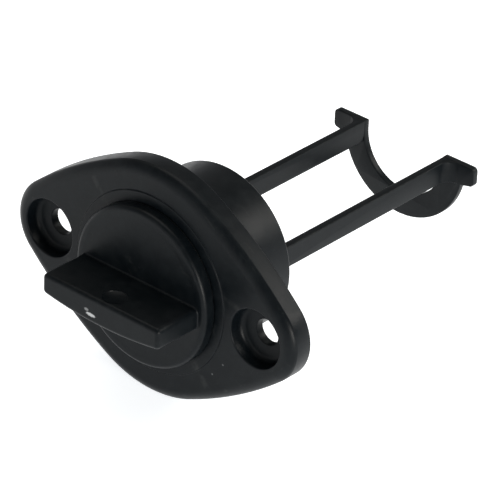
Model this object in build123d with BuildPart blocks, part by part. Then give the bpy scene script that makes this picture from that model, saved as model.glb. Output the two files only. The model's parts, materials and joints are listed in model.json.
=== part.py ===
from build123d import *
import math
import os

# A captive drain bung in its flanged housing, the kind screwed through a boat's transom.
# X runs along the flange through both screw holes, Y along the bore into the hull, Z up.
# The origin is on the bore's axis in the plane of the flange's back face. Millimetres.

# driving dimensions: flange
screw_spacing = 52.0
screw_hole_radius = 2.6
screw_recess_radius = 5.9
screw_recess_depth = 3.3
flange_middle_radius = 24.0
flange_tip_place = 25.3
flange_tip_radius = 9.6
flange_flank_radius = 89.5
flange_face = 5.26
ledge_height = 3.1
ledge_width = 0.25
ledge_round = 0.2
shoulder_round = 2.0
pad_radius = 18.5
pad_height = 0.14

# driving dimensions: spigot and its thread
spigot_radius = 16.8
spigot_length = 15.1
spigot_root = 0.6
bore_root_radius = 15.75
bore_crest_radius = 14.9
mouth_radius = 16.0
mouth_depth = 3.2
thread_pitch = 4.0
ridge_root = 2.2
ridge_crest = 1.2
ridge_bite = 0.3
housing_thread_start = 1.8
housing_thread_turns = 2.5

# driving dimensions: bung
bung_rest_turn = 2.0
cap_radius = 16.3
cap_thickness = 2.7
cap_round = 0.9
cap_gap = 0.15
wing_half_width = 14.6
wing_reach = 10.65
wing_top = 1.7
wing_end_depth = 2.55
wing_middle_depth = 3.85
wing_corner = 0.6
wing_mark_radius = 2.4
wing_mark_depth = 0.2
wing_mark_from_edge = 3.1
wing_mark_aside = 0.9
neck_radius = 13.9
neck_length = 3.0
plug_core_radius = 14.6
plug_crest_radius = 15.5
plug_end = 11.4
plug_hollow_radius = 9.8
plug_floor = 1.7
bung_thread_turns = 2.5
arm_inner = 9.95
arm_thickness = 1.7
arm_top = 1.95
arm_depth = 2.65

# driving dimensions: catch at the far end of the arms
catch_back = 69.6
catch_thickness = 1.5
catch_ring_radius = 14.9
ear_reach = 17.8
ear_tip_depth = 2.1
ear_corner = 0.7
cove_radius = 2.6
cove_half_height = 1.9

# driving dimensions: sealing ring
seal_section_radius = 1.0
seal_clearance = 0.05

# worked out
pad_face = flange_face + pad_height
cap_back = -(pad_face + cap_gap)
cap_front = cap_back - cap_thickness
catch_front = catch_back - catch_thickness
arm_outer = arm_inner + arm_thickness
neck_end = cap_back + neck_length
bung_thread_start = housing_thread_start - thread_pitch / 2
seal_ring_radius = neck_radius + seal_section_radius + seal_clearance
seal_place = cap_back + seal_section_radius + seal_clearance

os.makedirs("parts", exist_ok=True)


def across(place):
    """The plane square to the bore at this Y: its x is +X, its y is +Z, and it faces outboard."""
    return Plane.XZ.offset(-place)


def bung_across(place):
    """The same plane, turned with the bung by its angle at rest."""
    turn = math.radians(bung_rest_turn)
    return Plane(origin=(0, place, 0), x_dir=(math.cos(turn), 0, math.sin(turn)), z_dir=(0, -1, 0))


def bung_along(height):
    """The plane through the arms, turned with the bung: its x is across the arms, its y is +Y."""
    turn = math.radians(bung_rest_turn)
    up = Vector(-math.sin(turn), 0, math.cos(turn))
    return Plane(origin=up * height, x_dir=(math.cos(turn), 0, math.sin(turn)), z_dir=up)


def flange_outline(inset):
    """The flange's outline, moved in by inset: two middle, two tip and four long flank arcs, all tangent."""
    to_middle = flange_flank_radius - flange_middle_radius
    to_tip = flange_flank_radius - flange_tip_radius
    flank_x = (to_middle**2 - to_tip**2 + flange_tip_place**2) / (2 * flange_tip_place)
    flank_y = -math.sqrt(to_middle**2 - flank_x**2)
    middle_angle = math.degrees(math.atan2(-flank_y, -flank_x))
    tip_angle = math.degrees(math.atan2(-flank_y, flange_tip_place - flank_x))
    middle_sweep = 180 - 2 * middle_angle
    flank_sweep = middle_angle - tip_angle
    middle = flange_middle_radius - inset
    flank = flange_flank_radius - inset
    tip = flange_tip_radius - inset
    with BuildSketch() as outline:
        with BuildLine():
            CenterArc((0, 0), middle, middle_angle, middle_sweep)
            CenterArc((-flank_x, flank_y), flank, 180 - middle_angle, flank_sweep)
            CenterArc((-flange_tip_place, 0), tip, 180 - tip_angle, 2 * tip_angle)
            CenterArc((-flank_x, -flank_y), flank, 180 + tip_angle, flank_sweep)
            CenterArc((0, 0), middle, 180 + middle_angle, middle_sweep)
            CenterArc((flank_x, -flank_y), flank, -middle_angle, flank_sweep)
            CenterArc((flange_tip_place, 0), tip, -tip_angle, 2 * tip_angle)
            CenterArc((flank_x, flank_y), flank, tip_angle, flank_sweep)
        make_face()
    return outline.sketch


def thread_ridge(wall_radius, crest_radius, start, turns):
    """A helical ridge on a wall of this radius, from start along +Y, standing up to its crest."""
    inward = 1 if wall_radius > crest_radius else -1
    height = abs(wall_radius - crest_radius)
    crest_half = ridge_crest / 2
    base_half = ridge_root / 2 + (ridge_root - ridge_crest) / 2 * ridge_bite / height
    with BuildPart() as ridge:
        with BuildLine() as run:
            Helix(thread_pitch, thread_pitch * turns, wall_radius, center=(0, start, 0), direction=(0, 1, 0))
        begin = run.line @ 0
        radial = begin - Vector(0, begin.Y, 0)
        with BuildSketch(Plane(origin=begin, x_dir=radial, z_dir=run.line % 0)):
            with BuildLine():
                Polyline(
                    (inward * ridge_bite, -base_half),
                    (-inward * height, -crest_half),
                    (-inward * height, crest_half),
                    (inward * ridge_bite, base_half),
                    close=True,
                )
            make_face()
        sweep(path=run.line, is_frenet=True)
    return ridge.part


# Flange: a base with a narrow ledge round it, a rounded upper body and a round pad under the cap.
with BuildPart() as flange:
    with BuildSketch(across(0)):
        add(flange_outline(0))
    extrude(amount=ledge_height)
    fillet(flange.faces().sort_by(Axis.Y)[0].edges(), radius=ledge_round)
    with BuildSketch(across(-ledge_height)):
        add(flange_outline(ledge_width))
    extrude(amount=flange_face - ledge_height)
    fillet(flange.faces().sort_by(Axis.Y)[0].edges(), radius=shoulder_round)
    with BuildSketch(across(-flange_face)):
        Circle(pad_radius)
    extrude(amount=pad_height)
    with BuildSketch(across(0)):
        Circle(bore_root_radius)
    extrude(amount=pad_face, mode=Mode.SUBTRACT)
    with BuildSketch(across(-pad_face)):
        Circle(mouth_radius)
    extrude(amount=-mouth_depth, mode=Mode.SUBTRACT)
    with BuildSketch(across(0)):
        Circle(spigot_radius)
    extrude(amount=spigot_root, mode=Mode.SUBTRACT)
    with Locations(across(-flange_face)):
        with GridLocations(screw_spacing, 1, 2, 1):
            CounterBoreHole(screw_hole_radius, screw_recess_radius, screw_recess_depth)
flange.part.label = "flange"
export_step(flange.part, "parts/flange.step")

# Spigot: the tube that fills the hole through the hull, with the bung's thread inside it.
# Its root is let into the flange, so that the flange's back face ends at the spigot's outside.
with BuildPart() as spigot:
    with BuildSketch(across(-spigot_root)):
        Circle(spigot_radius)
        Circle(bore_root_radius, mode=Mode.SUBTRACT)
    extrude(amount=-(spigot_root + spigot_length))
    fillet(spigot.faces().sort_by(Axis.Y)[-1].outer_wire().edges(), radius=0.5)
    add(thread_ridge(bore_root_radius, bore_crest_radius, housing_thread_start, housing_thread_turns))
spigot.part.label = "spigot"
export_step(spigot.part, "parts/spigot.step")

# Cap: the round head of the bung.
with BuildPart() as cap:
    with BuildSketch(across(cap_back)):
        Circle(cap_radius)
    extrude(amount=cap_thickness)
    fillet(cap.faces().sort_by(Axis.Y)[0].edges(), radius=cap_round)
cap.part.label = "cap"
export_step(cap.part, "parts/cap.step")

# Wing: the flat finger grip on the cap, flat on top and crowned underneath.
with BuildPart() as wing:
    with BuildSketch(bung_across(cap_front)):
        with BuildLine():
            Line((-wing_half_width, -wing_end_depth), (-wing_half_width, wing_top))
            Line((-wing_half_width, wing_top), (wing_half_width, wing_top))
            Line((wing_half_width, wing_top), (wing_half_width, -wing_end_depth))
            ThreePointArc(
                (wing_half_width, -wing_end_depth),
                (0, -wing_middle_depth),
                (-wing_half_width, -wing_end_depth),
            )
        make_face()
    extrude(amount=wing_reach)
    outer_face = wing.faces().sort_by(Axis.Y)[0]
    fillet(wing.edges().filter_by(Axis.Y) + outer_face.edges(), radius=wing_corner)
    with BuildSketch(bung_along(wing_top)):
        with Locations((wing_mark_aside, cap_front - wing_reach + wing_mark_from_edge)):
            Circle(wing_mark_radius)
    extrude(amount=-wing_mark_depth, mode=Mode.SUBTRACT)
wing.part.label = "wing"
export_step(wing.part, "parts/wing.step")

# Plug: the neck that holds the sealing ring, then the threaded sleeve, hollow from the hull side.
with BuildPart() as plug:
    with BuildSketch(across(cap_back)):
        Circle(neck_radius)
    extrude(amount=-neck_length)
    with BuildSketch(across(neck_end)):
        Circle(plug_core_radius)
    extrude(amount=neck_end - plug_end)
    with BuildSketch(across(plug_end)):
        Circle(plug_hollow_radius)
    extrude(amount=plug_end - cap_back - plug_floor, mode=Mode.SUBTRACT)
    add(thread_ridge(plug_core_radius, plug_crest_radius, bung_thread_start, bung_thread_turns))
plug.part.label = "plug"
export_step(plug.part, "parts/plug.step")


def build_arm(side):
    """One flat arm from the plug's rear face to the catch; side is -1 or 1."""
    middle = (side * (arm_inner + arm_thickness / 2), (arm_top - arm_depth) / 2)
    with BuildPart() as arm:
        with BuildSketch(bung_across(plug_end)):
            with Locations(middle):
                Rectangle(arm_thickness, arm_top + arm_depth)
        extrude(amount=plug_end - catch_front)
        fillet(arm.edges().filter_by(Axis.Y), radius=0.25)
    return arm


arm_left = build_arm(-1)
arm_left.part.label = "arm_left"
export_step(arm_left.part, "parts/arm_left.step")

arm_right = build_arm(1)
arm_right.part.label = "arm_right"
export_step(arm_right.part, "parts/arm_right.step")

# Catch: a half ring that joins the arms, with an ear each side that stops on the spigot's rim.
with BuildPart() as catch:
    with BuildSketch(bung_across(catch_back)):
        with BuildLine():
            CenterArc((0, 0), arm_inner, 180, 180)
            Line((arm_inner, 0), (arm_inner, arm_top))
            Line((arm_inner, arm_top), (ear_reach, arm_top))
            Line((ear_reach, arm_top), (ear_reach, -ear_tip_depth))
            ear_meet = math.sqrt(catch_ring_radius**2 - arm_depth**2)
            Line((ear_reach, -ear_tip_depth), (ear_meet, -arm_depth))
            meet_angle = math.degrees(math.asin(arm_depth / catch_ring_radius))
            CenterArc((0, 0), catch_ring_radius, 180 + meet_angle, 180 - 2 * meet_angle)
            Line((-ear_meet, -arm_depth), (-ear_reach, -ear_tip_depth))
            Line((-ear_reach, -ear_tip_depth), (-ear_reach, arm_top))
            Line((-ear_reach, arm_top), (-arm_inner, arm_top))
            Line((-arm_inner, arm_top), (-arm_inner, 0))
        make_face()
    extrude(amount=catch_thickness)
    ear_ends = catch.edges().filter_by(Axis.Y).group_by(SortBy.DISTANCE)[-1]
    fillet(ear_ends, radius=ear_corner)
    with BuildSketch(bung_along(-cove_half_height)):
        for side in (-1, 1):
            corner = (side * arm_outer, catch_front)
            with BuildLine():
                Line(corner, (side * (arm_outer + cove_radius), catch_front))
                RadiusArc(
                    (side * (arm_outer + cove_radius), catch_front),
                    (side * arm_outer, catch_front - cove_radius),
                    -side * cove_radius,
                )
                Line((side * arm_outer, catch_front - cove_radius), corner)
            make_face()
    extrude(amount=2 * cove_half_height)
catch.part.label = "catch"
export_step(catch.part, "parts/catch.step")

# Sealing ring: an O-ring on the bung's neck, inside the mouth of the bore.
with BuildPart() as seal:
    with BuildSketch(Plane.XY):
        with Locations((seal_ring_radius, seal_place)):
            Circle(seal_section_radius)
    revolve(axis=Axis.Y, revolution_arc=360)
seal.part.label = "seal"
export_step(seal.part, "parts/seal.step")
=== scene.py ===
"""A captive drain bung in its flanged housing: two mouldings, a sealing ring, their finish and a studio.

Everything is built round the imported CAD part, in its frame: X through both screw holes, Y along the bore
into the hull, Z up, with the origin on the bore's axis in the plane of the flange's back face.
"""

import json
import math

import bmesh
import bpy
from bpy.props import FloatProperty, FloatVectorProperty, PointerProperty
from mathutils import Matrix, Vector


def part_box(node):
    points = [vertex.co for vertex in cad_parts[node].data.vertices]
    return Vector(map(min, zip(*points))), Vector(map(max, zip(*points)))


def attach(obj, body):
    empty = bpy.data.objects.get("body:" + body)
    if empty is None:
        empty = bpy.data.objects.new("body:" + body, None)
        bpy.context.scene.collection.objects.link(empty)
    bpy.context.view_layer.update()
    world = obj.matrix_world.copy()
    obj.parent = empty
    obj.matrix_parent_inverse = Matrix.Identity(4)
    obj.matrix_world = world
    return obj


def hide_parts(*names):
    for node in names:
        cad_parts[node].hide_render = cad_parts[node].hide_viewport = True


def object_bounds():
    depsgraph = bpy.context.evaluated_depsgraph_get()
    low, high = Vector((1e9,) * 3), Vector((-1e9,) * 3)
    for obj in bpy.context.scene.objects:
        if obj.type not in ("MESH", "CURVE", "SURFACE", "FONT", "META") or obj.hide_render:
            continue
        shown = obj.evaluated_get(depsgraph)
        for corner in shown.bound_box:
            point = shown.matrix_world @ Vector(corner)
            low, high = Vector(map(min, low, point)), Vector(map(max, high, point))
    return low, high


bl_info = {
    "name": "Captive drain bung",
    "version": (1, 0, 0),
    "blender": (4, 5, 0),
    "location": "View3D > Sidebar > Drain bung",
    "description": "Builds a captive drain bung, its flanged housing and its sealing ring",
    "category": "Add Mesh",
}

MM = 0.001

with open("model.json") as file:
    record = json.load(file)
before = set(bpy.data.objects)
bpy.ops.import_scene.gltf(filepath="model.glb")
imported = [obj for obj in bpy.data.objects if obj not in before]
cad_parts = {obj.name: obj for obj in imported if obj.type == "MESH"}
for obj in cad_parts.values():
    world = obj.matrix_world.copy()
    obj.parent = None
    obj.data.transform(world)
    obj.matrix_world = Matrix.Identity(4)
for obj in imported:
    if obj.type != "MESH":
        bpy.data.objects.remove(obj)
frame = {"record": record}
cad_low, cad_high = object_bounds()
flange_low, flange_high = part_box("flange")
cap_low, cap_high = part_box("cap")
seal_low, seal_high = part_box("seal")
spigot_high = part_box("spigot")[1]
wing_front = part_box("wing")[0].y
plug_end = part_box("plug")[1].y
catch_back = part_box("catch")[1].y
screw_holes = next(m for m in frame["record"]["mounts"] if m["name"] == "screw_holes")
hole_place = screw_holes["dims"]["spacing_x_mm"] / 2 * MM
hole_radius = screw_holes["dims"]["hole_r_mm"] * MM
pad_face = flange_low.y

# steps round each kind of curve
OUTLINE_STEPS = 44
ROUND_STEPS = 192
HOLE_STEPS = 72
SECTION_STEPS = 28
SHOULDER_STEPS = 14
WING_STEPS = 7
COVE_STEPS = 10
CORNER_STEPS = 6
SMALL_STEPS = 4
TINY_STEPS = 3
BELLY_STEPS = 40
INNER_RING_STEPS = 48
OUTER_RING_STEPS = 56

SHARP_ANGLE = math.radians(32)  # faces that meet at more than this keep a sharp corner
EMBED = 0.3 * MM  # how far one solid reaches into the next before they are joined
SEAT = 0.04 * MM  # gap that keeps two solids from sharing a plane
ROUND = 0.2 * MM  # small round on a moulded corner
LAND = 0.1 * MM  # flat strip beside a round, which keeps its shading clean
HAIR = 0.05 * MM  # smallest chamfer
SAME_POINT = 1e-7  # points nearer than this are one point

# pale rubs: centre, half extents along X, Y and Z, all in millimetres, and strength
BUNG_RUBS = (
    ((-2.1, -18.8, -2.1), (1.3, 0.9, 0.4), 1.0),
    ((-3.2, -18.8, -1.4), (0.6, 0.9, 0.35), 0.4),
)
HOUSING_RUBS = (
    ((18.9, -5.3, -9.1), (0.22, 0.4, 0.2), 0.2),
    ((16.5, -5.3, -12.3), (0.2, 0.4, 0.2), 0.2),
)

# softboxes: name, place and size in metres, and power in watts; all point at the origin
SOFTBOXES = (
    ("overhead softbox", (-0.25, 0.15, 1.1), 0.9, 5.0),
    ("front softbox", (-0.3, -1.4, 0.35), 0.9, 2.0),
    ("side softbox", (1.3, -0.5, 0.25), 0.5, 16.0),
    ("rear softbox", (0.75, 0.95, 0.75), 0.7, 11.0),
)
LAMP_COLOUR = (1.0, 0.97, 0.92)
NEAR_CLIP, FAR_CLIP = 0.01, 20
FLOOR_REACH = 3.0
FLOOR_GAP = 0.2 * MM
FLOOR_THICKNESS = 2 * MM

# where each mark on the skin begins, and where it is full
BLOOM_AT = (0.42, 0.72)
PITS_AT = (0.66, 0.74)
SCRATCHES_AT = (0.66, 0.69)
EDGES_AT = (0.53, 0.62)
PATCHES_AT = (0.38, 0.62)
GREASE_AT = (0.45, 0.65)
RUB_AT = (1.5, 1.1)
GREASED = (0.017, 0.017, 0.018)
SCRATCH_SLANT = (0.3, 0.5, 0.9)
SCRATCH_STRETCH = (1, 14, 1)
PLASTIC_RELIEF = 0.05 * MM
RUBBER_RELIEF = 0.01 * MM

# a Mix node's colour sockets, which share their names with its number sockets
COLOUR_A, COLOUR_B, COLOUR_RESULT = 6, 7, 2


# ---------------------------------------------------------------- settings


def length(name, description, size):
    """A size in millimetres, kept in metres."""
    return FloatProperty(
        name=name, description=description, default=size * MM, min=0, precision=5, unit="LENGTH"
    )


def share(name, description, size):
    """A plain number from 0 to 1."""
    return FloatProperty(name=name, description=description, default=size, min=0, max=1, subtype="FACTOR")


def colour(name, description, value):
    """A linear colour."""
    return FloatVectorProperty(
        name=name, description=description, default=value, min=0, max=1, subtype="COLOR"
    )


def degrees(name, description, size):
    """An angle, given in degrees."""
    return FloatProperty(name=name, description=description, default=math.radians(size), subtype="ANGLE")


class HousingSizes(bpy.types.PropertyGroup):
    """The housing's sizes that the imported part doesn't give"""

    tip_radius: length("Tip radius", "Radius of the flange's two ends", 9.6)
    flank_radius: length("Flank radius", "Radius of the four long arcs between middle and tips", 89.5)
    wall_height: length("Wall height", "Straight edge of the flange, from the hull up", 3.85)
    shoulder_width: length("Shoulder width", "Breadth of the curve from the face down to the wall", 2.3)
    edge_round: length("Edge round", "Round on the corner between shoulder and wall", 0.28)
    recess_radius: length("Recess radius", "Radius of the recess for the screw's head", 5.9)
    recess_depth: length("Recess depth", "Depth of the recess below the flange's face", 3.3)
    recess_foot: length("Recess foot", "Round where the recess's wall meets its seat", 1.2)
    rim_round: length("Rim round", "Round on the rim of the recess", 0.3)
    pad_radius: length("Pad radius", "Radius of the raised pad round the cap", 18.5)
    pad_height: length("Pad height", "How far the pad stands off the flange's face", 0.14)
    mouth_radius: length("Mouth radius", "Bore radius where the sealing ring sits", 16.0)
    mouth_depth: length("Mouth depth", "Depth of the ring's seat below the pad", 3.2)
    bore_radius: length("Bore radius", "Bore radius at the thread's root", 15.75)
    thread_height: length("Thread height", "How far the thread stands off the bore", 0.85)
    thread_start: length("Thread start", "Where the thread starts along the bore", 1.8)


class ThreadSizes(bpy.types.PropertyGroup):
    """The thread, which is the same in the bore and on the plug"""

    pitch: length("Pitch", "Advance of the thread in one turn", 4.0)
    turns: FloatProperty(name="Turns", description="Turns of thread", default=2.5, min=0.5, max=6)
    root_width: length("Root width", "Width of the ridge where it leaves the wall", 2.2)
    crest_width: length("Crest width", "Width of the ridge at its crest", 1.2)
    run_out: share("Run-out", "Share of the thread over which each end dies away", 0.06)


class BungSizes(bpy.types.PropertyGroup):
    """The bung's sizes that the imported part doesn't give"""

    rest_turn: degrees("Turn at rest", "Angle of the wing and arms to the flange", 2.0)
    cap_round: length("Cap round", "Round on the cap's front edge", 1.0)
    cap_dish: length("Cap dish", "How far the cap's face is dished inside its rim", 0.05)
    cap_rim: length("Cap rim", "Breadth of the cap's rim outside the dish", 1.6)
    wing_half_width: length("Wing half width", "Half the wing's breadth", 14.6)
    wing_top: length("Wing top", "Height of the wing's flat top above the axis", 1.7)
    wing_end_depth: length("Wing end depth", "Depth of the wing below the axis at its ends", 2.55)
    wing_middle_depth: length("Wing middle depth", "Depth of the wing below the axis in the middle", 3.85)
    wing_corner: length("Wing corner", "Round on the wing's long corners", 1.0)
    wing_edge: length("Wing edge", "Round on the edges of the wing's front", 0.85)
    wing_root: length("Wing root", "Fillet where the wing leaves the cap", 0.35)
    mark_radius: length("Ejector mark radius", "Radius of the ejector pin's mark on the wing", 2.4)
    mark_depth: length("Ejector mark depth", "Depth of the ejector pin's mark", 0.18)
    mark_from_edge: length("Ejector mark place", "Distance of the mark from the wing's front", 3.1)
    mark_aside: length("Ejector mark offset", "Distance of the mark from the wing's middle", 0.9)
    neck_radius: length("Neck radius", "Radius of the neck that holds the ring", 13.9)
    neck_length: length("Neck length", "Length of the neck", 3.0)
    core_radius: length("Plug radius", "Radius of the plug at its thread's root", 14.6)
    thread_height: length("Thread height", "How far the thread stands off the plug", 0.9)
    hollow_radius: length("Hollow radius", "Radius of the hollow in the plug", 9.8)
    hollow_floor: length("Hollow floor", "Thickness left between hollow and cap", 1.7)
    arm_inner: length("Arm inner face", "Distance of each arm's inner face from the axis", 9.95)
    arm_thickness: length("Arm thickness", "Thickness of each arm", 1.7)
    arm_top: length("Arm top", "Height of the arms' top above the axis", 1.95)
    arm_depth: length("Arm depth", "Depth of the arms below the axis", 2.65)
    catch_thickness: length("Catch thickness", "Thickness of the half ring and ears", 1.5)
    ring_radius: length("Half ring radius", "Outer radius of the half ring", 14.9)
    ear_reach: length("Ear reach", "Distance of each ear's end from the axis", 17.8)
    ear_depth: length("Ear depth", "Depth of each ear's end below the axis", 2.1)
    ear_corner: length("Ear corner", "Round on the ear's corners", 0.9)
    cove_radius: length("Cove radius", "Curve that carries each arm out into its ear", 2.6)
    soft_edge: length("Soft edge", "Round left on every moulded edge", 0.2)


class FinishSettings(bpy.types.PropertyGroup):
    """Colours and textures of the nylon and the rubber"""

    plastic: colour("Plastic", "Black nylon where it is clean", (0.0022, 0.0035, 0.0047))
    bloom: colour("Bloom", "Greyer skin that handling leaves on the nylon", (0.0046, 0.0064, 0.0077))
    worn: colour("Worn edge", "Rubbed edges and fine scratches", (0.022, 0.024, 0.024))
    rub: colour("Rub", "Pale spots where something hard has rubbed through the skin", (0.42, 0.43, 0.44))
    gloss: share("Plastic roughness", "Roughness of the clean moulded skin", 0.36)
    sheen: share("Plastic reflection", "How strongly the nylon reflects; 0.5 is plain plastic", 0.115)
    grain: length("Grain size", "Size of the mould's fine texture", 0.28)
    ripple: length("Ripple size", "Size of the slow waves that shrinkage leaves", 6.0)
    rubber: colour("Rubber", "Nitrile sealing ring", (0.011, 0.011, 0.012))
    rubber_gloss: share("Rubber roughness", "Roughness of the sealing ring", 0.5)


class StageSettings(bpy.types.PropertyGroup):
    """The camera, the card and the studio's light"""

    azimuth: degrees("Azimuth", "Camera's direction round the object, from the front", 39.37)
    elevation: degrees("Elevation", "Camera's height above the horizon", 31.76)
    roll: degrees("Roll", "Camera's turn about its own line of sight", 4.31)
    distance: length("Distance", "Camera's distance from its aim", 732.8)
    aim: FloatVectorProperty(
        name="Aim",
        description="Where the camera looks",
        default=(11.48 * MM, 9.12 * MM, 6.34 * MM),
        subtype="XYZ",
    )
    lens: FloatProperty(name="Lens", description="Focal length in millimetres", default=285.0, min=20)
    floor: colour("Floor", "Pale card the object stands on", (0.83, 0.85, 0.87))
    glow: share("Floor glow", "Light from under the card, which keeps the shadows pale", 0.86)
    horizon: colour("Horizon", "Studio at the height of the horizon", (0.45, 0.46, 0.49))
    ceiling: colour("Ceiling", "Studio overhead, away from the lamps", (0.24, 0.235, 0.22))


class DrainBungSettings(bpy.types.PropertyGroup):
    """Everything that a user would change"""

    housing: PointerProperty(type=HousingSizes, name="Housing")
    thread: PointerProperty(type=ThreadSizes, name="Thread")
    bung: PointerProperty(type=BungSizes, name="Bung")
    finish: PointerProperty(type=FinishSettings, name="Finish")
    stage: PointerProperty(type=StageSettings, name="Stage")


# ---------------------------------------------------------------- node trees


class Number:
    """A socket of a node tree that takes part in Python arithmetic by adding Math nodes."""

    def __init__(self, tree, socket):
        self.tree = tree
        self.socket = socket

    def math(self, operation, *operands, clamp=False):
        """Adds one Math node and returns its result."""
        node = self.tree.nodes.new("ShaderNodeMath")
        node.operation = operation
        node.use_clamp = clamp
        for place, operand in enumerate(operands):
            if isinstance(operand, Number):
                self.tree.links.new(operand.socket, node.inputs[place])
            else:
                node.inputs[place].default_value = operand
        return Number(self.tree, node.outputs[0])

    def __add__(self, other):
        return self.math("ADD", self, other)

    def __radd__(self, other):
        return self.math("ADD", other, self)

    def __sub__(self, other):
        return self.math("SUBTRACT", self, other)

    def __rsub__(self, other):
        return self.math("SUBTRACT", other, self)

    def __mul__(self, other):
        return self.math("MULTIPLY", self, other)

    def __rmul__(self, other):
        return self.math("MULTIPLY", other, self)

    def __truediv__(self, other):
        return self.math("DIVIDE", self, other)

    def __rtruediv__(self, other):
        return self.math("DIVIDE", other, self)

    def at_most(self, other):
        """The smaller of this and another."""
        return self.math("MINIMUM", self, other)

    def ramp(self, low, high):
        """0 at low, 1 at high, a straight line between them and no further."""
        return self.math("MULTIPLY", self - low, 1 / (high - low), clamp=True)


class Tree:
    """A node tree with one method that adds any node."""

    def __init__(self, tree):
        self.tree = tree

    def node(self, kind, settings=None, values=None, output=0):
        """Adds a node: its settings first, then the values or links of its sockets. Returns one output."""
        node = self.tree.nodes.new(kind)
        for name, value in (settings or {}).items():
            setattr(node, name, value)
        for name, value in (values or {}).items():
            socket = node.inputs[name]
            if isinstance(value, Number):
                self.tree.links.new(value.socket, socket)
            else:
                socket.default_value = value
        return Number(self.tree, node.outputs[output])


# ---------------------------------------------------------------- mesh building


class Skin:
    """A closed mesh made of bands between rings of points and of flat plates between rings."""

    def __init__(self):
        self.mesh = bmesh.new()

    def bands(self, rows):
        """Joins each row of points to the next and returns the first and last rows of vertices."""
        made = [[self.mesh.verts.new(point) for point in row] for row in rows]
        for near, far in zip(made, made[1:]):
            for i in range(len(near)):
                j = (i + 1) % len(near)
                self.mesh.faces.new((near[i], near[j], far[j], far[i]))
        return made[0], made[-1]

    def plate(self, *rows):
        """Fills the flat region between an outer row and any rows inside it."""
        edges = [self.mesh.edges.get((a, b)) for row in rows for a, b in zip(row, row[1:] + row[:1])]
        bmesh.ops.triangle_fill(self.mesh, use_beauty=True, edges=edges)

    def fan(self, row, point):
        """Closes a row to one point."""
        middle = self.mesh.verts.new(point)
        for a, b in zip(row, row[1:] + row[:1]):
            self.mesh.faces.new((a, b, middle))

    def finish(self, name):
        """Makes the object, with its faces turned outwards."""
        bmesh.ops.recalc_face_normals(self.mesh, faces=self.mesh.faces)
        mesh = bpy.data.meshes.new(name)
        self.mesh.to_mesh(mesh)
        self.mesh.free()
        return link(name, mesh)


def link(name, mesh):
    """A mesh as an object in the scene."""
    thing = bpy.data.objects.new(name, mesh)
    bpy.context.scene.collection.objects.link(thing)
    return thing


def bake(thing):
    """Takes a thing's modifiers up into a plain mesh."""
    graph = bpy.context.evaluated_depsgraph_get()
    mesh = bpy.data.meshes.new_from_object(thing.evaluated_get(graph))
    thing.modifiers.clear()
    thing.data = mesh
    return thing


def merge(base, other, operation="UNION"):
    """Joins, or cuts, one solid with another, which is used up."""
    step = base.modifiers.new("merge", "BOOLEAN")
    step.operation = operation
    step.solver = "EXACT"
    step.object = other
    bake(base)
    bpy.data.objects.remove(other)
    return base


def soften(thing, width):
    """Rounds every sharp edge of a solid."""
    step = thing.modifiers.new("soften", "BEVEL")
    step.width = width
    step.segments = 3
    step.limit_method = "ANGLE"
    step.angle_limit = SHARP_ANGLE
    return bake(thing)


def shade(thing, material):
    """Smooth shading but at sharp corners, and one material."""
    thing.data.shade_smooth()
    thing.data.set_sharp_from_angle(angle=SHARP_ANGLE)
    thing.data.materials.clear()
    thing.data.materials.append(material)
    return thing


def arc(centre, radius, start, sweep, steps):
    """Points on an arc in a profile; start and sweep are in degrees."""
    angles = [math.radians(start + sweep * i / steps) for i in range(steps + 1)]
    return [(centre[0] + radius * math.cos(a), centre[1] + radius * math.sin(a)) for a in angles]


def ring(radius, place, steps, middle=0.0):
    """A circle square to the bore, at this place along it."""
    angles = [math.tau * i / steps for i in range(steps)]
    return [Vector((middle + radius * math.cos(a), place, radius * math.sin(a))) for a in angles]


def prism(name, outline, extrude):
    """A solid with this outline, pushed along extrude."""
    mesh = bmesh.new()
    face = mesh.faces.new([mesh.verts.new(point) for point in outline])
    pushed = bmesh.ops.extrude_face_region(mesh, geom=[face])
    moved = [v for v in pushed["geom"] if isinstance(v, bmesh.types.BMVert)]
    bmesh.ops.translate(mesh, verts=moved, vec=extrude)
    bmesh.ops.remove_doubles(mesh, verts=mesh.verts, dist=SAME_POINT)
    bmesh.ops.recalc_face_normals(mesh, faces=mesh.faces)
    made = bpy.data.meshes.new(name)
    mesh.to_mesh(made)
    mesh.free()
    return link(name, made)


# ---------------------------------------------------------------- threads and ring


def open_tree(name, numbers):
    """A Geometry Nodes tree with these number inputs and a material, and the inputs by name."""
    group = bpy.data.node_groups.new(name, "GeometryNodeTree")
    group.interface.new_socket("Geometry", in_out="OUTPUT", socket_type="NodeSocketGeometry")
    for number in numbers:
        group.interface.new_socket(number, in_out="INPUT", socket_type="NodeSocketFloat")
    group.interface.new_socket("Material", in_out="INPUT", socket_type="NodeSocketMaterial")
    given = group.nodes.new("NodeGroupInput")
    return Tree(group), {socket.name: Number(group, socket) for socket in given.outputs if socket.name}


def close_tree(tree, geometry, material):
    """Ends a Geometry Nodes tree with real geometry in its material, and returns the node group."""
    real = tree.node("GeometryNodeRealizeInstances", values={"Geometry": geometry})
    done = tree.node("GeometryNodeSetMaterial", values={"Geometry": real, "Material": material})
    tree.tree.links.new(done.socket, tree.tree.nodes.new("NodeGroupOutput").inputs[0])
    return tree.tree


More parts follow.
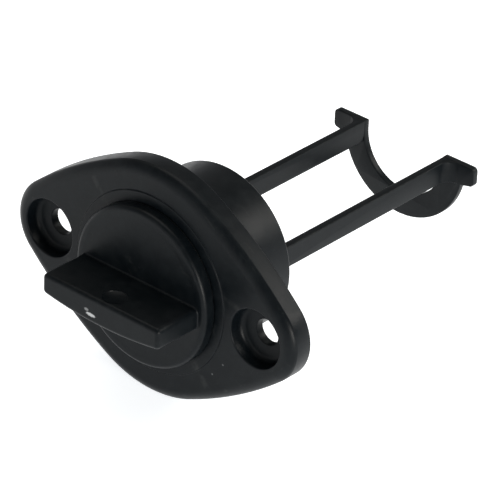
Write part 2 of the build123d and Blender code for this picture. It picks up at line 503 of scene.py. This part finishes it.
def ridge_tree():
    """Geometry Nodes: a trapezoid ridge that climbs a cylinder and dies away at both ends."""
    numbers = ("Radius", "Pitch", "Turns", "Root", "Crest", "Height", "Outward", "Run-out")
    tree, size = open_tree("thread ridge", numbers)
    climb = tree.node(
        "GeometryNodeCurveSpiral",
        values={
            "Resolution": ROUND_STEPS // 2,
            "Rotations": size["Turns"],
            "Start Radius": size["Radius"],
            "End Radius": size["Radius"],
            "Height": size["Pitch"] * size["Turns"],
            "Reverse": True,
        },
    )
    upright = tree.node("GeometryNodeSetCurveNormal", {"mode": "Z_UP"}, {"Curve": climb})
    section = tree.node(
        "GeometryNodeCurvePrimitiveQuadrilateral",
        {"mode": "TRAPEZOID"},
        {"Height": size["Height"], "Bottom Width": size["Crest"], "Top Width": size["Root"], "Offset": 0.0},
    )
    stand = tree.node("ShaderNodeCombineXYZ", values={"X": size["Outward"] * size["Height"] * 0.5})
    facing = tree.node("ShaderNodeCombineXYZ", values={"Z": size["Outward"] * (math.pi / 2)})
    stood = tree.node(
        "GeometryNodeTransform", values={"Geometry": section, "Translation": stand, "Rotation": facing}
    )
    along = tree.node("GeometryNodeSplineParameter")
    fade = (along / size["Run-out"]).at_most((1 - along) / size["Run-out"]).at_most(1.0)
    ridge = tree.node(
        "GeometryNodeCurveToMesh",
        values={"Curve": upright, "Profile Curve": stood, "Scale": fade + 0.02, "Fill Caps": True},
    )
    return close_tree(tree, ridge, size["Material"])


def ring_tree():
    """Geometry Nodes: a round section carried round a circle."""
    tree, size = open_tree("sealing ring", ("Radius", "Section"))
    circle = "GeometryNodeCurvePrimitiveCircle"
    path = tree.node(circle, values={"Resolution": ROUND_STEPS, "Radius": size["Radius"]})
    section = tree.node(circle, values={"Resolution": SECTION_STEPS, "Radius": size["Section"]})
    swept = tree.node("GeometryNodeCurveToMesh", values={"Curve": path, "Profile Curve": section})
    return close_tree(tree, swept, size["Material"])


def grow(name, group, sizes, place):
    """Runs a Geometry Nodes tree with these inputs and stands the plain mesh it makes along the bore."""
    thing = link(name, bpy.data.meshes.new(name))
    step = thing.modifiers.new("grow", "NODES")
    step.node_group = group
    for socket in group.interface.items_tree:
        if socket.name in sizes:
            step[socket.identifier] = sizes[socket.name]
    bake(thing)
    along_bore = Matrix.Translation((0, place, 0)) @ Matrix.Rotation(math.radians(-90), 4, "X")
    thing.data.transform(along_bore)
    return thing


def thread_ridge(name, thread, wall, height, start, outward, material):
    """One thread's ridge, sunk a little into its wall; outward is 1 on a plug and -1 in a bore."""
    slope = (thread.root_width - thread.crest_width) / height
    sizes = {
        "Radius": wall - outward * EMBED,
        "Pitch": thread.pitch,
        "Turns": thread.turns,
        "Root": thread.root_width + slope * EMBED,
        "Crest": thread.crest_width,
        "Height": height + EMBED,
        "Outward": float(outward),
        "Run-out": thread.run_out,
        "Material": material,
    }
    return grow(name, ridge_tree(), sizes, start)


# ---------------------------------------------------------------- finishes


def finish_tree(name):
    """A material with one Principled shader, and the tree that its nodes go into."""
    material = bpy.data.materials.new(name)
    material.use_nodes = True
    group = material.node_tree
    return material, Tree(group), group.nodes["Principled BSDF"]


def feed(tree, shader, name, value):
    """Links a value to one of the shader's sockets."""
    tree.tree.links.new(value.socket, shader.inputs[name])


def blend_colours(tree, factor, first, second):
    """A colour between two, which may be colours or outputs of nodes."""
    ends = [value if isinstance(value, Number) else (*value, 1) for value in (first, second)]
    values = {"Factor": factor, COLOUR_A: ends[0], COLOUR_B: ends[1]}
    return tree.node("ShaderNodeMix", {"data_type": "RGBA"}, values, output=COLOUR_RESULT)


def noise(tree, place, size, detail=2.0, roughness=0.5, distortion=0.0):
    """Noise whose features are about this size in metres."""
    values = {
        "Vector": place,
        "Scale": 1 / size,
        "Detail": detail,
        "Roughness": roughness,
        "Distortion": distortion,
    }
    return tree.node("ShaderNodeTexNoise", {"normalize": True}, values)


def rubbed_spots(tree, place, spots):
    """A mask of small pale rubs, ragged at their edges."""
    ragged = noise(tree, place, 0.35 * MM, 3.0, 0.6) * 0.9
    mask = 0
    for centre, extent, strength in spots:
        inside = tree.node(
            "ShaderNodeMapping",
            {"vector_type": "TEXTURE"},
            {"Vector": place, "Location": [c * MM for c in centre], "Scale": [e * MM for e in extent]},
        )
        reach = tree.node("ShaderNodeVectorMath", {"operation": "LENGTH"}, {0: inside}, output="Value")
        mask = mask + (reach + ragged).ramp(*RUB_AT) * strength
    return mask


def moulded_plastic(finish, name, spots):
    """Black nylon from a fine-textured mould: grey bloom, rubbed edges, hair scratches and pale rubs."""
    material, tree, shader = finish_tree(name)
    place = tree.node("ShaderNodeTexCoord", output="Object")
    ripple = noise(tree, place, finish.ripple, 2.0)
    bloom = noise(tree, place, finish.ripple * 0.45, 4.0, 0.62, 0.6).ramp(*BLOOM_AT)
    grain = noise(tree, place, finish.grain, 3.0, 0.6)
    pits = noise(tree, place, finish.grain * 2.6, 1.0).ramp(*PITS_AT)
    slant = {"Vector": place, "Rotation": SCRATCH_SLANT, "Scale": SCRATCH_STRETCH}
    drawn = tree.node("ShaderNodeMapping", {"vector_type": "POINT"}, slant)
    scratches = noise(tree, drawn, finish.ripple, 3.0, 0.7).ramp(*SCRATCHES_AT)
    edges = tree.node("ShaderNodeNewGeometry", output="Pointiness").ramp(*EDGES_AT)
    rubbed = edges * noise(tree, place, finish.ripple * 0.2, 3.0).ramp(*PATCHES_AT)
    wear = (rubbed * 0.55 + scratches * 0.22 + pits * 0.12).at_most(1.0)
    skin = blend_colours(tree, bloom, finish.plastic, finish.bloom)
    tone = blend_colours(tree, wear, skin, finish.worn)
    gloss = finish.gloss + bloom * 0.08 + (grain - 0.5) * 0.10 + (ripple - 0.5) * 0.08 + wear * 0.12
    rub = rubbed_spots(tree, place, spots)
    relief = grain * 0.12 + ripple * 0.35 + rub * 0.06 - scratches * 0.05 - pits * 0.06
    feed(tree, shader, "Base Color", blend_colours(tree, rub, tone, finish.rub))
    feed(tree, shader, "Roughness", gloss + rub * 0.2)
    bump = tree.node("ShaderNodeBump", values={"Height": relief, "Strength": 0.7, "Distance": PLASTIC_RELIEF})
    feed(tree, shader, "Normal", bump)
    shader.inputs["Specular IOR Level"].default_value = finish.sheen
    return material


def nitrile(finish, name):
    """Smooth black rubber with a faint sheen and grease marks."""
    material, tree, shader = finish_tree(name)
    place = tree.node("ShaderNodeTexCoord", output="Object")
    grease = noise(tree, place, 2.2 * MM, 3.0, 0.6).ramp(*GREASE_AT)
    grain = noise(tree, place, 0.12 * MM, 2.0)
    feed(tree, shader, "Base Color", blend_colours(tree, grease, finish.rubber, GREASED))
    feed(tree, shader, "Roughness", finish.rubber_gloss - grease * 0.16 + (grain - 0.5) * 0.1)
    bump = tree.node("ShaderNodeBump", values={"Height": grain, "Strength": 0.3, "Distance": RUBBER_RELIEF})
    feed(tree, shader, "Normal", bump)
    return material


# ---------------------------------------------------------------- housing


def flange_ring(sizes, inset, place):
    """The flange's outline at this inset: arcs round its middle and tips, and four long ones between."""
    middle_radius = flange_high.z
    tip_place = flange_high.x - sizes.tip_radius
    to_middle = sizes.flank_radius - middle_radius
    to_tip = sizes.flank_radius - sizes.tip_radius
    flank_x = (to_middle**2 - to_tip**2 + tip_place**2) / (2 * tip_place)
    flank_z = -math.sqrt(to_middle**2 - flank_x**2)
    middle_angle = math.degrees(math.atan2(-flank_z, -flank_x))
    tip_angle = math.degrees(math.atan2(-flank_z, tip_place - flank_x))
    half = [
        ((tip_place, 0), sizes.tip_radius, 0, tip_angle),
        ((flank_x, flank_z), sizes.flank_radius, tip_angle, middle_angle - tip_angle),
        ((0, 0), middle_radius, middle_angle, 180 - 2 * middle_angle),
        ((-flank_x, flank_z), sizes.flank_radius, 180 - middle_angle, middle_angle - tip_angle),
        ((-tip_place, 0), sizes.tip_radius, 180 - tip_angle, tip_angle),
    ]
    points = []
    for centre, radius, start, sweep in half:
        points += arc(centre, radius - inset, start, sweep, OUTLINE_STEPS)[:-1]
    points += [(-x, -z) for x, z in points]
    return [Vector((x, place, z)) for x, z in points]


def rim_profile(sizes, face):
    """The flange's back edge, straight wall, corner with a small round, and shoulder up to the face."""
    drop = -face - sizes.wall_height
    sweep = 2 * math.degrees(math.atan(drop / sizes.shoulder_width))
    shoulder_radius = sizes.shoulder_width / math.sin(math.radians(sweep))
    centre = (sizes.shoulder_width, face + shoulder_radius)
    shoulder = arc(centre, shoulder_radius, 270 - sweep, sweep, SHOULDER_STEPS)
    turn = sizes.edge_round
    corner = arc((turn, -sizes.wall_height + turn * 0.8), turn, 180, 90 - sweep, SMALL_STEPS)
    back = arc((ROUND, -ROUND), ROUND, 90, 90, TINY_STEPS)
    rim = [(2 * ROUND, 0)] + back + corner + [p for p in shoulder if p[0] > corner[-1][0] + HAIR]
    return rim + [(sizes.shoulder_width + 0.12 * MM, face)]


def screw_profile(sizes, face):
    """A recess with a round foot and a slightly dished seat, then the screw hole through to the back."""
    seat = face + sizes.recess_depth
    start, foot = sizes.recess_radius + sizes.rim_round, sizes.recess_foot
    eased, dish = 0.25 * MM, 0.15 * MM
    bore = [(start + LAND, face)]
    bore += arc((start, face + sizes.rim_round), sizes.rim_round, -90, -90, CORNER_STEPS)
    bore += arc((sizes.recess_radius - foot, seat - foot - dish), foot, 0, 85, CORNER_STEPS)
    bore += [(hole_radius + eased, seat), (hole_radius + 0.07 * MM, seat + 0.07 * MM)]
    bore += [(hole_radius, seat + eased), (hole_radius, -ROUND)]
    bore += [(hole_radius + 0.15 * MM, 0), (hole_radius + 0.3 * MM, 0)]
    return bore


def tube_profile(sizes, face):
    """The pad, the mouth, the bore, the spigot's lip and its outside back to the hull face."""
    lip, root, pad_round = 0.5 * MM, 0.4 * MM, 0.12 * MM
    wall, end = spigot_high.x, spigot_high.y
    pad, mouth, bore = sizes.pad_radius, sizes.mouth_radius, sizes.bore_radius
    step = pad_face + sizes.mouth_depth
    tube = [(pad + 0.25 * MM, face), (pad + LAND, face), (pad, (face + pad_face) / 2)]
    tube += arc((pad - LAND - pad_round, pad_face + pad_round), pad_round, 0, -90, TINY_STEPS)
    tube += [(pad - 2 * ROUND, pad_face), (mouth + 0.35 * MM, pad_face)]
    tube += arc((mouth + ROUND, pad_face + ROUND), ROUND, -90, -90, SMALL_STEPS)
    tube += [(mouth, step - HAIR), (mouth - HAIR, step), (bore + HAIR, step), (bore, step + HAIR)]
    tube += [(bore, end - ROUND), (bore + ROUND, end)]
    tube += arc((wall - lip, end - lip), lip, 90, -90, CORNER_STEPS)
    tube += arc((wall + root, root), root, 180, 90, SMALL_STEPS)
    tube = [p for p in tube if p[1] <= end]
    tube[-1] = (wall + root, 0)
    return tube + [(wall + root + 0.15 * MM, 0)]


def build_housing(settings):
    """The flange with its screw holes and the threaded tube behind it, as one closed moulding."""
    sizes = settings.housing
    face = pad_face + sizes.pad_height
    skin = Skin()
    rim = rim_profile(sizes, face)
    back_row, face_row = skin.bands([flange_ring(sizes, inset, place) for inset, place in rim])
    bore = screw_profile(sizes, face)
    holes = []
    for middle in (-hole_place, hole_place):
        holes.append(skin.bands([ring(radius, place, HOLE_STEPS, middle) for radius, place in bore]))
    tube = tube_profile(sizes, face)
    pad_row, hull_row = skin.bands([ring(radius, place, ROUND_STEPS) for radius, place in tube])
    skin.plate(face_row, pad_row, *[front for front, rear in holes])
    skin.plate(back_row, hull_row, *[rear for front, rear in holes])
    housing = skin.finish("housing_moulding")
    plastic = moulded_plastic(settings.finish, "moulded nylon, housing", HOUSING_RUBS)
    wall, height, start = sizes.bore_radius, sizes.thread_height, sizes.thread_start
    merge(housing, thread_ridge("bore_thread", settings.thread, wall, height, start, -1, plastic))
    shade(housing, plastic)
    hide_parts("flange", "spigot")
    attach(housing, "housing")


# ---------------------------------------------------------------- bung


def wing_ring(sizes, inset, place):
    """The wing's outline at this inset: flat on top, crowned underneath, with round corners."""
    rise = sizes.wing_middle_depth - sizes.wing_end_depth
    belly = (sizes.wing_half_width**2 + rise**2) / (2 * rise)
    middle = belly - sizes.wing_middle_depth
    corner_x = sizes.wing_half_width - sizes.wing_corner
    reach = belly - sizes.wing_corner
    corner_z = middle - math.sqrt(reach**2 - corner_x**2)
    lean = math.degrees(math.atan2(corner_z - middle, corner_x))
    corner = sizes.wing_corner - inset
    arcs = [
        ((corner_x, sizes.wing_top - sizes.wing_corner), corner, 0, 90, 8),
        ((-corner_x, sizes.wing_top - sizes.wing_corner), corner, 90, 90, 8),
        ((-corner_x, corner_z), corner, 180, -lean, 8),
        ((0, middle), belly - inset, -180 - lean, 180 + 2 * lean, BELLY_STEPS),
        ((corner_x, corner_z), corner, lean, -lean, 8),
    ]
    points = []
    for centre, radius, start, sweep, steps in arcs:
        made = arc(centre, radius, start, sweep, steps)
        points += made if not points else [p for p in made if math.dist(p, points[-1]) > SAME_POINT]
    if math.dist(points[0], points[-1]) < SAME_POINT:
        points.pop()
    return [Vector((x, place, z)) for x, z in points]


def build_plug(sizes):
    """Cap, neck, plug and hollow, turned as one round solid from the cap's middle to the hollow's floor."""
    front, back = cap_low.y, cap_high.y
    neck_end = back + sizes.neck_length
    floor = back + sizes.hollow_floor
    flat = cap_high.x - sizes.cap_round
    dish, sunk = flat - sizes.cap_rim, sizes.cap_dish
    neck, core, hollow = sizes.neck_radius, sizes.core_radius, sizes.hollow_radius
    thread_end, hollow_foot = 0.3 * MM, 0.5 * MM
    profile = [(radius * MM, front + sunk) for radius in (1.5, 3, 4.5, 6, 7.5, 9, 10.5, 12)]
    profile += [(dish, front + sunk), (dish + 0.35 * MM, front + sunk * 0.85)]
    profile += [(dish + 0.8 * MM, front + sunk * 0.2), (dish + 1.1 * MM, front)]
    profile += arc((flat, front + sizes.cap_round), sizes.cap_round, -90, 90, COVE_STEPS)
    profile += arc((cap_high.x - ROUND, back - ROUND), ROUND, 0, 90, SMALL_STEPS)
    profile += arc((neck + ROUND, back + ROUND), ROUND, -90, -90, SMALL_STEPS)
    profile += [(neck, neck_end - HAIR), (neck + HAIR, neck_end)]
    profile += arc((core - ROUND, neck_end + ROUND), ROUND, -90, 90, SMALL_STEPS)
    profile += arc((core - thread_end, plug_end - thread_end), thread_end, 0, 90, SMALL_STEPS)
    profile += arc((hollow + LAND, plug_end - LAND), LAND, 90, 90, TINY_STEPS)
    profile += arc((hollow - hollow_foot, floor + hollow_foot), hollow_foot, 0, -90, 5)
    skin = Skin()
    first, last = skin.bands([ring(radius, place, ROUND_STEPS) for radius, place in profile])
    skin.fan(first, (0, front + sunk, 0))
    skin.fan(last, (0, floor, 0))
    return skin.finish("bung_moulding")


def build_wing(sizes):
    """The finger grip, flared where it leaves the cap, with the ejector pin's mark on its top."""
    base = cap_low.y + sizes.cap_dish
    root, edge = sizes.wing_root, sizes.wing_edge
    profile = [(-root, base + EMBED)] + arc((-root, base - root), root, 80, -80, WING_STEPS)
    profile += arc((edge, wing_front + edge), edge, 180, 90, WING_STEPS) + [(edge + LAND, wing_front)]
    skin = Skin()
    first, last = skin.bands([wing_ring(sizes, inset, place) for inset, place in profile])
    skin.plate(first)
    skin.plate(last)
    wing = skin.finish("wing")
    place, radius = wing_front + sizes.mark_from_edge, sizes.mark_radius
    top, floor = sizes.wing_top, sizes.wing_top - sizes.mark_depth
    depth = [(radius - LAND, floor), (radius, floor + 0.06 * MM), (radius + HAIR, top)]
    depth += [(radius + HAIR, top + EMBED)]
    dent = Skin()
    rows = []
    for reach, height in depth:
        circle = ring(reach, 0, HOLE_STEPS, sizes.mark_aside)
        rows.append([Vector((point.x, place + point.z, height)) for point in circle])
    low, high = dent.bands(rows)
    dent.plate(low)
    dent.plate(high)
    return merge(wing, dent.finish("ejector_mark"), "DIFFERENCE")


def build_arm(sizes, side):
    """One arm, from inside the plug's rear face to the catch, where a cove carries it out into the ear.

    Its inner face and its top stay a hair inside the catch's, so that the two solids share no plane.
    """
    inner, outer = sizes.arm_inner + SEAT, sizes.arm_inner + sizes.arm_thickness
    top = sizes.arm_top - SEAT
    start, end = plug_end - EMBED, catch_back - EMBED
    front = catch_back - sizes.catch_thickness
    spread = outer + sizes.cove_radius
    outline = [(inner, start), (outer, start)]
    outline += arc((spread, front - sizes.cove_radius), sizes.cove_radius, 180, -90, COVE_STEPS)
    outline += [(spread, end), (inner, end)]
    points = [Vector((side * x, y, -sizes.arm_depth)) for x, y in outline]
    arm = prism("arm", points, (0, 0, sizes.arm_depth + top))
    return soften(arm, sizes.soft_edge)


def build_catch(sizes):
    """The half ring that joins the arms, with an ear each side."""
    front = catch_back - sizes.catch_thickness
    meet = math.degrees(math.asin(sizes.arm_depth / sizes.ring_radius))
    corner = sizes.ear_corner
    top = sizes.arm_top
    outline = arc((0, 0), sizes.arm_inner, 180, 180, INNER_RING_STEPS)
    outline += [(sizes.arm_inner, top)]
    ear, low = sizes.ear_reach - corner, corner - sizes.ear_depth
    outline += arc((ear, top - corner), corner, 90, -90, CORNER_STEPS)
    outline += arc((ear, low), corner, 0, -90, CORNER_STEPS)
    outline += arc((0, 0), sizes.ring_radius, -meet, 2 * meet - 180, OUTER_RING_STEPS)
    outline += arc((-ear, low), corner, -90, -90, CORNER_STEPS)
    outline += arc((-ear, top - corner), corner, 180, -90, CORNER_STEPS)
    outline += [(-sizes.arm_inner, top)]
    catch = prism("catch", [Vector((x, front, z)) for x, z in outline], (0, sizes.catch_thickness, 0))
    return soften(catch, sizes.soft_edge)


def build_bung(settings):
    """Wing, cap, threaded plug, both arms and the catch, as one closed moulding turned as it rests."""
    sizes = settings.bung
    grip = build_wing(sizes)
    tail = build_catch(sizes)
    for side in (-1, 1):
        merge(tail, build_arm(sizes, side))
    rest = Matrix.Rotation(-sizes.rest_turn, 4, "Y")
    grip.data.transform(rest)
    tail.data.transform(rest)
    bung = build_plug(sizes)
    plastic = moulded_plastic(settings.finish, "moulded nylon, bung", BUNG_RUBS)
    start = settings.housing.thread_start - settings.thread.pitch / 2
    wall, height = sizes.core_radius, sizes.thread_height
    ridge = thread_ridge("plug_thread", settings.thread, wall, height, start, 1, plastic)
    for piece in (ridge, grip, tail):
        merge(bung, piece)
    shade(bung, plastic)
    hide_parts("cap", "wing", "plug", "arm_left", "arm_right", "catch")
    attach(bung, "bung")


# ---------------------------------------------------------------- stage


def build_floor(stage):
    """The pale card under the object, which also glows a little."""
    top = cad_low.z - FLOOR_GAP
    corners = ((-1, -1), (1, -1), (1, 1), (-1, 1))
    outline = [Vector((x * FLOOR_REACH, y * FLOOR_REACH, top)) for x, y in corners]
    floor = prism("floor", outline, (0, 0, -FLOOR_THICKNESS))
    card, tree, shader = finish_tree("pale card")
    place = tree.node("ShaderNodeTexCoord", output="Object")
    fleck = noise(tree, place, 60 * MM, 3.0)
    dull = [c * 0.985 for c in stage.floor]
    feed(tree, shader, "Base Color", blend_colours(tree, fleck, stage.floor, dull))
    shader.inputs["Roughness"].default_value = 0.9
    shader.inputs["Emission Color"].default_value = (*stage.floor, 1)
    shader.inputs["Emission Strength"].default_value = stage.glow
    floor.data.materials.append(card)


def build_studio(scene, stage):
    """The studio's walls and ceiling as a sky, and the softboxes."""
    world = bpy.data.worlds.new("studio")
    world.use_nodes = True
    sky = Tree(world.node_tree)
    ray = sky.node("ShaderNodeTexCoord", output="Generated")
    height = sky.node("ShaderNodeSeparateXYZ", values={"Vector": ray}, output="Z")
    light = blend_colours(sky, height.ramp(0.05, 0.55), stage.horizon, stage.ceiling)
    background = world.node_tree.nodes["Background"]
    world.node_tree.links.new(light.socket, background.inputs["Color"])
    scene.world = world
    for name, place, size, power in SOFTBOXES:
        lamp = bpy.data.lights.new(name, "AREA")
        lamp.shape = "SQUARE"
        lamp.size = size
        lamp.energy = power
        lamp.color = LAMP_COLOUR
        holder = bpy.data.objects.new(name, lamp)
        holder.location = place
        holder.rotation_euler = (-Vector(place)).to_track_quat("-Z", "Y").to_euler()
        scene.collection.objects.link(holder)


def build_camera(scene, stage):
    """The camera, turned round its aim by azimuth and elevation and rolled a little."""
    camera = bpy.data.cameras.new("camera")
    camera.lens = stage.lens
    camera.clip_start = NEAR_CLIP
    camera.clip_end = FAR_CLIP
    holder = bpy.data.objects.new("camera", camera)
    back = Vector((math.sin(stage.azimuth), -math.cos(stage.azimuth), 0)) * math.cos(stage.elevation)
    back.z = math.sin(stage.elevation)
    level = back.to_track_quat("Z", "Y").to_matrix().to_4x4()
    roll = Matrix.Rotation(stage.roll, 4, "Z")
    holder.matrix_world = Matrix.Translation(Vector(stage.aim) + back * stage.distance) @ level @ roll
    scene.collection.objects.link(holder)
    scene.camera = holder
    scene.view_settings.view_transform = "Standard"


# ---------------------------------------------------------------- operators


class DRAINBUNG_OT_housing(bpy.types.Operator):
    """Build the housing's one-piece moulding, which stands for the CAD flange and spigot"""

    bl_idname = "drain_bung.housing"
    bl_label = "Housing"

    def execute(self, context):
        build_housing(context.scene.drain_bung)
        return {"FINISHED"}


class DRAINBUNG_OT_bung(bpy.types.Operator):
    """Build the bung's one-piece moulding: cap, wing, threaded plug, arms and catch"""

    bl_idname = "drain_bung.bung"
    bl_label = "Bung"

    def execute(self, context):
        build_bung(context.scene.drain_bung)
        return {"FINISHED"}


class DRAINBUNG_OT_seal(bpy.types.Operator):
    """Build the rubber sealing ring on the bung's neck"""

    bl_idname = "drain_bung.seal"
    bl_label = "Sealing ring"

    def execute(self, context):
        section = (seal_high.y - seal_low.y) / 2
        rubber = nitrile(context.scene.drain_bung.finish, "nitrile rubber")
        sizes = {"Radius": seal_high.x - section, "Section": section, "Material": rubber}
        seal = grow("sealing_ring", ring_tree(), sizes, seal_low.y + section)
        shade(seal, rubber)
        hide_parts("seal")
        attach(seal, "seal")
        return {"FINISHED"}


class DRAINBUNG_OT_stage(bpy.types.Operator):
    """Set the pale floor, the studio's light and the camera"""

    bl_idname = "drain_bung.stage"
    bl_label = "Stage"

    def execute(self, context):
        scene, stage = context.scene, context.scene.drain_bung.stage
        build_floor(stage)
        build_studio(scene, stage)
        build_camera(scene, stage)
        return {"FINISHED"}


class DRAINBUNG_PT_build(bpy.types.Panel):
    """Sizes, finish and the steps that build the drain bung"""

    bl_idname = "DRAINBUNG_PT_build"
    bl_label = "Captive drain bung"
    bl_space_type = "VIEW_3D"
    bl_region_type = "UI"
    bl_category = "Drain bung"

    def draw(self, context):
        settings = context.scene.drain_bung
        for operator in OPERATORS:
            self.layout.operator(operator.bl_idname)
        for group in (settings.housing, settings.thread, settings.bung, settings.finish, settings.stage):
            box = self.layout.box()
            for name in group.__annotations__:
                box.prop(group, name)


OPERATORS = (DRAINBUNG_OT_housing, DRAINBUNG_OT_bung, DRAINBUNG_OT_seal, DRAINBUNG_OT_stage)
GROUPS = (HousingSizes, ThreadSizes, BungSizes, FinishSettings, StageSettings, DrainBungSettings)
CLASSES = (*GROUPS, *OPERATORS, DRAINBUNG_PT_build)


def register():
    """Adds the classes and the scene's settings."""
    for each in CLASSES:
        bpy.utils.register_class(each)
    bpy.types.Scene.drain_bung = PointerProperty(type=DrainBungSettings)


def unregister():
    """Takes the settings and the classes away again."""
    del bpy.types.Scene.drain_bung
    for each in reversed(CLASSES):
        bpy.utils.unregister_class(each)


def main():
    """Builds everything in order."""
    register()
    bpy.ops.drain_bung.housing()
    bpy.ops.drain_bung.bung()
    bpy.ops.drain_bung.seal()
    bpy.ops.drain_bung.stage()


if __name__ == "__main__":
    main()
